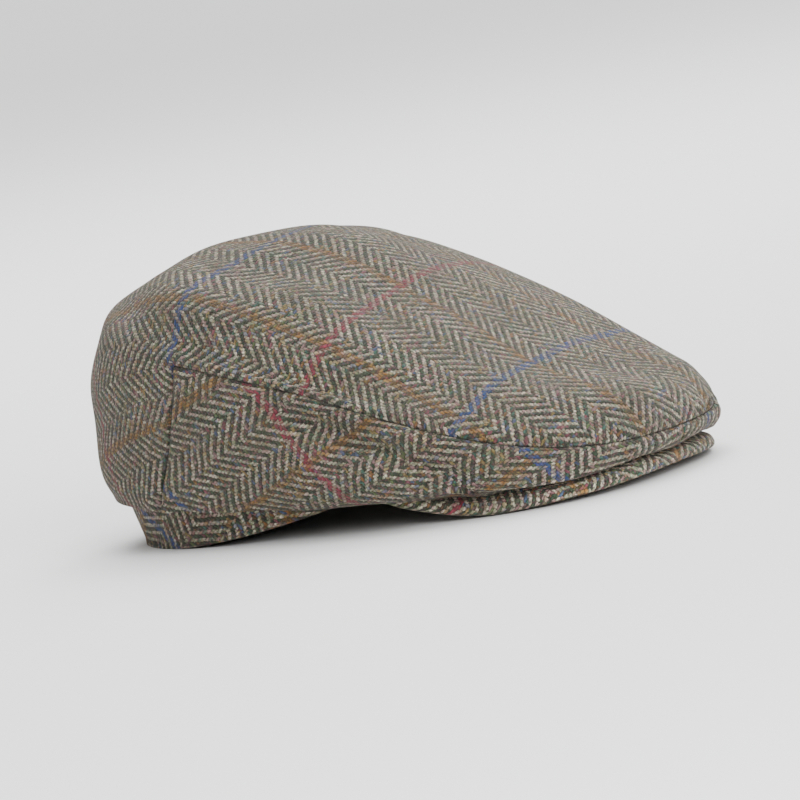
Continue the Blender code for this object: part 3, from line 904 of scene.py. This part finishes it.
@dataclass
class CrownTop:
    """The one-piece top with its drop behind, made as a half and its mirror image.

    The top is a square grid bent into a disc, and column is where on the square's side its corner
    at the upright seam lies. The slump is a dent in the right side's lobe.
    """
    form: CapForm
    seam: Seam = field(default_factory=Seam)
    wall: float = 0.002
    coarse: int = 14
    drop_coarse: int = 8
    finer: int = 5
    column: int = -8
    corner_sharpness: int = 4
    edge_crowding: float = 0.45
    row_crowding: float = 1.15
    pucker_seed: int = 12
    lump: float = 0.0010
    lump_length: float = 0.050
    lump_seed: int = 5
    soft_reach: float = 0.02
    slump: float = 0.0014
    slump_angle: float = radians(156)
    slump_sweep: float = radians(17)
    slump_station: float = 2.75
    slump_rise: float = 0.6
    slump_fade: float = 0.2
    hem_rounding: float = 0.0028
    hem_spread: float = 1.1
    hem_fade: float = 0.35
    held_ahead_of: float = -0.27
    dart_closing: float = 0.8

    @property
    def border(self) -> float:
        """Length of the square's border from the middle of the back to the upright seam."""
        return 2 + self.column / self.coarse

    @staticmethod
    def _square(border: Array) -> tuple[Array, Array]:
        """Place on the square's border, from the middle of the back round to the upright seam."""
        x = np.where(border <= 1, -1.0, border - 2)
        return x, np.minimum(border, 1)

    def _disc(self, x: Array, y: Array) -> tuple[Array, Array]:
        """Share of the way out and angle for a place in the square."""
        ahead = x * np.sqrt(1 - y ** 2 / 2)
        aside = y * np.sqrt(1 - x ** 2 / 2)
        square = np.maximum(np.abs(x), np.abs(y))
        share = np.hypot(ahead, aside)
        share = share + (square - share) * square ** self.corner_sharpness
        angle = np.arctan2(aside, ahead)
        column = self.column / self.coarse
        corner = np.arctan2(sqrt(1 - column ** 2 / 2), column * sqrt(0.5))
        top = self.form.upright_seam_top
        bent = np.where(angle <= corner, top * angle / corner,
                        top + (pi - top) * (angle - corner) / (pi - corner))
        return share, bent

    def _top_points(self, x: Array, y: Array, side: int = 0) -> Array:
        """Places of the top's corners, for y from 0 to 1, plain or with one side's soft detail."""
        share, angle = self._disc(x, y)
        share = share + self.edge_crowding * share * (1 - share)
        start = self.form.seam_station
        station = APEX + (start - APEX) * share
        if not side:
            return self.form.cloth(angle, station, 0 * angle)
        rise = (station - start) * self.form.speed_up(angle, (station + start) / 2)
        beyond = np.maximum(angle - self.form.upright_seam_top, 0) * self.form.crown_width / 2
        distance = np.hypot(rise, beyond)
        return self.form.cloth(angle, station, self._sink(angle, station, distance, side))

    def _sink(self, angle: Array, station: Array, distance: Array, side: int) -> Array:
        """Depth of seams, puckers and soft lumps, and of the slump of the right side's lobe."""
        along = side * angle * self.form.crown_width / 2
        sink = self.seam.sink(distance, along, self.pucker_seed)
        places = self.form.smooth(angle, station) * (1, side, 1)
        lumps = ripple(places, self.lump_length, self.lump_seed)
        sink = sink + (lumps * self.lump * smooth_step(distance / self.soft_reach)
                       * smooth_step(station - self.form.rings[0].station))
        if side < 0:
            slump = np.exp(-((angle - self.slump_angle) / self.slump_sweep) ** 2
                           - ((station - self.slump_station) / self.slump_rise) ** 2)
            sink = sink + self.slump * slump * smooth_step((pi - angle) / self.slump_fade)
        return sink

    def _drop_points(self, share: Array, row: Array, side: int = 0) -> Array:
        """Places of the drop's corners behind the upright seam."""
        x, y = self._square(share * self.border)
        rim = self._disc(x, y)[1]
        start = self.form.seam_station
        station = start * (1 - row) ** self.row_crowding
        top = self.form.upright_seam_top
        foot = self.form.upright_seam(station)
        angle = foot + (pi - foot) * (rim - top) / (pi - top)
        if not side:
            return self.form.cloth(angle, station, 0 * angle)
        distance = (angle - foot) * self.form.crown_width / 2
        fold = self.form.rings[0].station
        rounded = np.exp(-((station / fold - 1) / self.hem_spread) ** 2)
        rounded = rounded * smooth_step(station / fold)
        rounded = rounded * smooth_step(distance / self.soft_reach)
        rounded = rounded * smooth_step((pi - angle) / self.hem_fade)
        points = self.form.cloth(angle, station, self._sink(angle, station, distance, side))
        inward = self.form.inward(self.form.foot_ring, angle)
        return points + inward * (self.hem_rounding * rounded)[:, None]

    def _flat(self) -> tuple[Array, Array]:
        """Flat places of the half's corners on coarse grids, for the top and for the drop."""
        n, m, d = 2 * self.coarse, self.coarse, self.drop_coarse
        x, y = grid_shares(n, m)
        top = self._top_points(2 * x - 1, y)
        columns = round(self.border * self.coarse)
        share, row = grid_shares(columns, d)
        points = np.concatenate([top, self._drop_points(share, row)])
        faces = np.concatenate([grid_faces(n, m), grid_faces(columns, d, len(top))])
        same = np.arange(len(points))
        rim = [i * (d + 1) + len(top) for i in range(columns + 1)]
        border = [i if i <= m else (i - m) * (m + 1) + m for i in range(columns + 1)]
        same[rim] = border
        used, faces = np.unique(same[faces], return_inverse=True)
        faces = faces.reshape(-1, 3)
        middle = np.array([i * (m + 1) for i in range(n + 1)])
        limit = self.form.crown_length * self.held_ahead_of
        ahead = middle[points[middle, 0] > limit]
        held = np.searchsorted(used, ahead[::-1])
        flat = np.zeros((len(points), 2))
        flat[used] = Pattern().flatten(points[used], faces, self._guess(points)[used], held)
        flat[rim] = flat[border]
        return (flat[:len(top)].reshape(n + 1, m + 1, 2),
                flat[len(top):].reshape(columns + 1, d + 1, 2))

    def _guess(self, points: Array) -> Array:
        """First guess of the flat cloth, as spokes from the apex with the dart open."""
        form = self.form
        spoke = points - np.array([form.apex_x * form.crown_length, 0,
                                   form.apex_z * form.crown_height])
        distance = np.linalg.norm(spoke, axis=-1)
        angle = np.arctan2(spoke[:, 1], spoke[:, 0]) * self.dart_closing
        return np.stack([distance * np.sin(angle), distance * np.cos(angle)], -1)

    def build(self, finish: bpy.types.Material) -> bpy.types.Object:
        """Make the piece.

        Args:
            finish: Its material.

        Returns:
            The piece.
        """
        top_flat, drop_flat = self._flat()
        halves = []
        n, m = 2 * self.coarse * self.finer, self.coarse * self.finer
        columns = round(self.border * self.coarse) * self.finer
        rows = self.drop_coarse * self.finer
        x, y = grid_shares(n, m)
        share, row = grid_shares(columns, rows)
        top_flat, drop_flat = resample(top_flat, x, y), resample(drop_flat, share, row)
        for side in (1, -1):
            parts = [(n, m, self._top_points(2 * x - 1, y, side), top_flat),
                     (columns, rows, self._drop_points(share, row, side), drop_flat)]
            for across, up, points, flat in parts:
                halves.append(laid_grid(across, up, points * (1, side, 1), flat * (side, 1)))
        whole = joined(halves)
        return finished_piece("crown_top_cloth", whole, finish, ("crown_top",),
                              self.wall)


@dataclass
class SidePanel:
    """A panel on one side, cut on the bias, from the front seam to the upright seam."""
    form: CapForm
    side: int
    seam: Seam = field(default_factory=Seam)
    wall: float = 0.002
    columns: int = 28
    rows: int = 8
    finer: int = 6
    column_bunching: float = 0.3
    row_bunching: float = 0.45
    row_crowding: float = 1.1
    bias: float = radians(45)
    front_roll: float = 0.0012
    station_height: float = 0.03
    pucker_seed: int = 23
    lump: float = 0.0008
    lump_length: float = 0.045
    lump_flatness: float = 1.4
    lump_seed: int = 9
    crease: float = 0.0046
    crease_start: float = radians(94)
    crease_end: float = radians(57)
    crease_high: float = 0.0105
    crease_low: float = 0.0185
    crease_width: float = 0.0050
    crease_turn: float = radians(4)
    crease_down: float = 0.6
    crease_lead: float = 0.15
    crease_lead_span: float = 0.3
    crease_trail: float = 1.25
    crease_trail_span: float = 0.4
    soft_reach: float = 0.012

    def _points(self, x: Array, y: Array, detail: bool) -> Array:
        """Places of the panel's corners, x along and y up."""
        form = self.form
        y = 1 - (1 - y) * (1 + self.row_bunching * y)
        guess = self.side * form.upright_seam_top * x
        speed = form.speed_up(guess, form.seam_station + 0 * x)
        top = form.seam_station - 0.5 * form.seam_gap / speed
        station = top * np.clip(y, 0, 1) ** self.row_crowding
        foot = form.upright_seam(station)
        speed = form.speed_round(self.side * foot * x, station)
        first = form.seam_gap / 4 / speed
        last = foot - 0.5 * form.seam_gap / speed
        x = x + self.column_bunching * x * (1 - x) * (2 * x - 1)
        angle = first + (last - first) * x
        sink = 0 * angle
        if detail:
            rise = (top - station) * form.speed_up(self.side * angle, (station + top) / 2)
            behind = (last - angle) * speed
            ahead = (angle - first) * speed
            distance = np.minimum(np.minimum(rise, behind), ahead + self.front_roll)
            along = np.where(rise < behind, angle * form.crown_width / 2,
                             station * self.station_height)
            sink = self.seam.sink(distance, along, self.pucker_seed + self.side)
            places = form.smooth(self.side * angle, station) * (1, 1, self.lump_flatness)
            lumps = ripple(places, self.lump_length, self.lump_seed)
            sink = sink + lumps * self.lump * smooth_step(distance / self.soft_reach)
            sink = sink + self._creases(angle, rise)
        return form.cloth(self.side * angle, station, sink)

    def _creases(self, angle: Array, rise: Array) -> Array:
        """Depth of the soft crease that runs under the top's seam and then down to the hem."""
        start, end = self.crease_start, self.crease_end
        along = (start - angle) / (start - end)
        middle = self.crease_high + (self.crease_low - self.crease_high) * np.clip(along, 0, 1)
        held = (smooth_step((along + self.crease_lead) / self.crease_lead_span)
                * smooth_step((self.crease_trail - along) / self.crease_trail_span))
        under = np.exp(-((rise - middle) / self.crease_width) ** 2) * held
        down = np.exp(-((angle - end) / self.crease_turn) ** 2)
        down = down * smooth_step((rise - middle) / self.soft_reach)
        return self.crease * (under + self.crease_down * down)

    def build(self, finish: bpy.types.Material) -> bpy.types.Object:
        """Make the piece with its material."""
        n, m = self.columns, self.rows
        x, y = grid_shares(n, m)
        points = self._points(x, y, False)
        middle = points.reshape(n + 1, m + 1, 3)[:, m // 2]
        along = np.concatenate([[0], np.cumsum(np.linalg.norm(np.diff(middle, axis=0), axis=1))])
        start = np.stack([-self.side * np.repeat(along, m + 1), points[:, 2]], -1)
        flat = Pattern().flatten(points, grid_faces(n, m), start, np.array([m // 2]))
        line = flat.reshape(n + 1, m + 1, 2)[:, m // 2]
        back = line[-1] - line[n // 2]
        turn = np.arctan2(back[1], back[0]) - (pi if self.side > 0 else 0)
        flat = turned(flat, self.side * self.bias - turn).reshape(n + 1, m + 1, 2)
        n, m = n * self.finer, m * self.finer
        x, y = grid_shares(n, m)
        grid = laid_grid(n, m, self._points(x, y, True), resample(flat, x, y))
        name = "side_panel_left" if self.side > 0 else "side_panel_right"
        return finished_piece(name + "_cloth", grid, finish, (name,), self.wall)


@dataclass
class Band:
    """The band round the head, behind the peak, cut on the bias."""
    form: CapForm
    wall: float = 0.002
    hem: float = 0.003
    overlap: float = 0.003
    temple_lift: float = 0.015
    flat_angle: float = radians(130)
    peak_sweep: float = radians(66)
    start_steps: int = 4001
    hem_share: float = 0.4
    hem_rows: float = 0.25
    upright_share: float = 0.85
    columns: int = 180
    rows: int = 24
    ease: float = 1.13
    bias: float = radians(45)

    def _start(self) -> float:
        """Angle of the band's end, just behind the tip of the peak."""
        form = self.form
        tip = form.head(np.array([self.peak_sweep]))[0, 0] - 2 * form.seam_gap
        angles = np.linspace(0, pi, self.start_steps)
        return float(angles[np.argmax(form.lip(angles)[:, 0] < tip)])

    def build(self, finish: bpy.types.Material) -> bpy.types.Object:
        """Make the piece with its material."""
        form = self.form
        x, y = grid_shares(self.columns, self.rows)
        first = self._start()
        angle = first + (2 * pi - 2 * first) * x
        angle = np.where(angle > pi, angle - 2 * pi, angle)
        seat = form.lip(angle) + form.inward(form.lip, angle) * form.seam_gap
        head_angle = np.arctan2(seat[:, 1] / form.head_width,
                                (seat[:, 0] + form.head_setback) / form.head_length)
        foot = form.head(head_angle)
        share = np.clip((self.flat_angle - np.abs(head_angle))
                        / (self.flat_angle - self.peak_sweep), 0, 1)
        low = self.temple_lift * share ** 2
        upright = (low / self.temple_lift * self.upright_share)[:, None]
        foot = foot + (seat - foot) * upright
        foot[:, 2] = low
        hem = low + np.minimum(self.hem, (seat[:, 2] - low) * self.hem_share)
        top = seat[:, 2] + self.wall + self.overlap
        height = np.where(y < self.hem_rows, low + (hem - low) * y / self.hem_rows,
                          hem + (top - hem) * (y - self.hem_rows) / (1 - self.hem_rows))
        rise = np.clip((height - hem) / (seat[:, 2] - hem), 0, 1)[:, None]
        points = foot + (seat - foot) * rise
        points[:, 2] = height
        flat = np.stack([angle * form.head_width / 2 * self.ease, height], -1)
        grid = laid_grid(self.columns, self.rows, points, turned(flat, self.bias))
        return finished_piece("band_cloth", grid, finish, ("band",), self.wall)


@dataclass
class Peak:
    """The stiff peak, covered with cloth that rolls round its edge."""
    form: CapForm
    sweep: float = radians(86)
    head_sweep: float = radians(66)
    tip_share: float = 0.3
    tip_start: float = 0.86
    edge_radius: float = 0.0025
    radius_share: float = 0.4
    columns: int = 180
    rows: int = 22
    roll: int = 12
    under_place: tuple[float, float] = (0.11, 0.03)

    def _places(self, turn: Array, share: Array,
                tilt: Array) -> tuple[Array, Array]:
        """Places on the peak's skin and on its flat cloth.

        Args:
            turn: Shares of the sweep, from -1 to 1.
            share: Shares of the way out to where the edge starts to roll.
            tilt: Angles round the edge, pi / 2 on the upper side and -pi / 2 on the lower one.

        Returns:
            The points, and their places on the cloth that covers the upper side and the edge.
        """
        form = self.form
        inner, outer = form.head(self.head_sweep * turn), form.peak_edge(self.sweep * turn)
        tip = smooth_step((np.abs(turn) - self.tip_start) / (1 - self.tip_start))
        reach = (outer - inner) * (1 - (1 - self.tip_share) * tip)[:, None]
        length = np.linalg.norm(reach, axis=1)
        radius = np.minimum(self.edge_radius, length * self.radius_share)
        way = reach / length[:, None]
        out = share * (length - radius)
        points = inner + way * (out + radius * np.cos(tilt))[:, None]
        low = form.peak_under(points[:, 0], points[:, 1])
        high = form.peak_over(points[:, 0], points[:, 1])
        points[:, 2] = (low + high) / 2 + (high - low) / 2 * np.sin(tilt)
        wrapped = inner + way * (out + (high - low) / 2 * (pi / 2 - tilt))[:, None]
        return points, wrapped[:, 1::-1]

    def build(self, finish: bpy.types.Material) -> bpy.types.Object:
        """Make the piece with its material."""
        rows, roll = self.rows, self.roll
        x, y = grid_shares(self.columns, rows + roll)
        step = y * (rows + roll)
        tilt = pi / 2 - pi * np.clip((step - rows) / roll, 0, 1)
        points, flat = self._places(2 * x - 1, np.clip(step / rows, 0, 1), tilt)
        upper = laid_grid(self.columns, rows + roll, points, flat)
        x, y = grid_shares(self.columns, rows + 1)
        step = y * (rows + 1)
        tilt = np.where(step > rows + 0.5, pi / 2, -pi / 2)
        points = self._places(2 * x - 1, np.clip(1 - step / rows, 0, 1), tilt)[0]
        lower = laid_grid(self.columns, rows + 1, points, points[:, 1::-1] + self.under_place)
        whole = joined([upper, lower])
        open_edges = [edge for edge in whole.edges if edge.is_boundary]
        bmesh.ops.holes_fill(whole, edges=open_edges, sides=0)
        bmesh.ops.recalc_face_normals(whole, faces=whole.faces)
        return finished_piece("peak_cloth", whole, finish, ("peak",), 0)


@dataclass
class Studio:
    """A pale floor, soft lights and a long lens at the photograph's angle.

    The aim is how far the middle of the picture lies right of the origin and above it.
    """
    azimuth: float = radians(35)
    elevation: float = radians(6.5)
    roll: float = radians(11)
    aim_right: float = -0.0093
    aim_up: float = 0.0433
    frame_width: float = 0.3532
    lens: float = 0.400
    sensor: float = 0.036
    clip_start: float = 0.1
    clip_end: float = 50.0
    floor_size: float = 6.0
    floor_grey: float = 0.90
    floor_roughness: float = 0.9
    world_strength: float = 0.55
    lit_height: float = 0.05
    sky_spread: float = radians(60)

    def _light(self, name: str, lamp_kind: Lamp, place: tuple[float, float, float],
               power: float) -> bpy.types.Light:
        """Add a light that faces the cap.

        Args:
            name: The light's name.
            lamp_kind: What gives the light.
            place: Where it stands, in metres.
            power: Watts of a softbox, or watts a square metre of the sky.

        Returns:
            The light's own settings.
        """
        data = bpy.data.lights.new(name, lamp_kind.value)
        data.energy = power
        lamp = linked(name, data)
        lamp.location = place
        towards = Vector((0, 0, self.lit_height)) - Vector(place)
        lamp.rotation_euler = towards.to_track_quat("-Z", "Y").to_euler()
        return data

    def build(self) -> None:
        """Make the floor, the world, the lights and the camera."""
        grid = bmesh.new()
        bmesh.ops.create_grid(grid, x_segments=1, y_segments=1, size=self.floor_size)
        mesh = bpy.data.meshes.new("floor")
        grid.to_mesh(mesh)
        grid.free()
        material = bpy.data.materials.new("pale_floor")
        material.use_nodes = True
        shader = material.node_tree.nodes["Principled BSDF"]
        shader.inputs["Base Color"].default_value = (*[self.floor_grey] * 3, 1)
        shader.inputs["Roughness"].default_value = self.floor_roughness
        mesh.materials.append(material)
        linked("floor", mesh)
        world = bpy.data.worlds.new("studio")
        world.use_nodes = True
        sky = world.node_tree.nodes["Background"]
        sky.inputs["Color"].default_value = (1, 1, 1, 1)
        sky.inputs["Strength"].default_value = self.world_strength
        bpy.context.scene.world = world
        self._light("key", Lamp.SOFTBOX, place=(1.6, -1.0, 0.9), power=46).size = 1.2
        self._light("back", Lamp.SOFTBOX, place=(-0.6, 1.2, 1.5), power=40).size = 1.4
        overhead = self._light("overhead", Lamp.SKY, place=(0.3, 0.3, 2.05), power=3.0)
        overhead.angle = self.sky_spread
        self._camera()

    def _camera(self) -> None:
        """Place the camera for the photograph's view."""
        a, e, g = self.azimuth, self.elevation, self.roll
        right = Vector((cos(a), sin(a), 0))
        back = Vector((sin(a) * cos(e), -cos(a) * cos(e), sin(e)))
        up = back.cross(right)
        turned_right = cos(g) * right - sin(g) * up
        turned_up = sin(g) * right + cos(g) * up
        data = bpy.data.cameras.new("camera")
        data.sensor_width = self.sensor * 1000
        data.lens = self.lens * 1000
        data.clip_start, data.clip_end = self.clip_start, self.clip_end
        distance = self.frame_width * self.lens / self.sensor
        target = turned_right * self.aim_right + turned_up * self.aim_up
        matrix = Matrix((turned_right, turned_up, back)).transposed().to_4x4()
        matrix.translation = target + back * distance
        camera = linked("camera", data)
        camera.matrix_world = matrix
        bpy.context.scene.camera = camera


def main() -> None:
    """Build the cap's pieces and the studio."""
    logging.basicConfig(level=logging.INFO, format="%(name)s %(message)s")
    form = CapForm()
    # Each piece's brightness is partly the cloth's tone and partly painted light: the band and,
    # most of all, the peak are made lighter to stand in for the light that falls on them.
    top = Tweed("top_tweed", shift=(-0.0171, 0.0314), stretch=(1.04, 1.03), skew=(-0.05, -0.04),
                tone_and_painted_light=0.72).build()
    side = Tweed("side_tweed", shift=(-0.0141, 0.0291), skew=(0.215, 0.0), tone_and_painted_light=0.72).build()
    CrownTop(form).build(top)
    for turn in (1, -1):
        SidePanel(form, turn).build(side)
    Band(form).build(Tweed("band_tweed", tone_and_painted_light=0.98).build())
    Peak(form).build(Tweed("peak_tweed", tone_and_painted_light=1.2).build())
    Studio().build()
    bpy.context.view_layer.update()


if __name__ == "__main__":
    main()
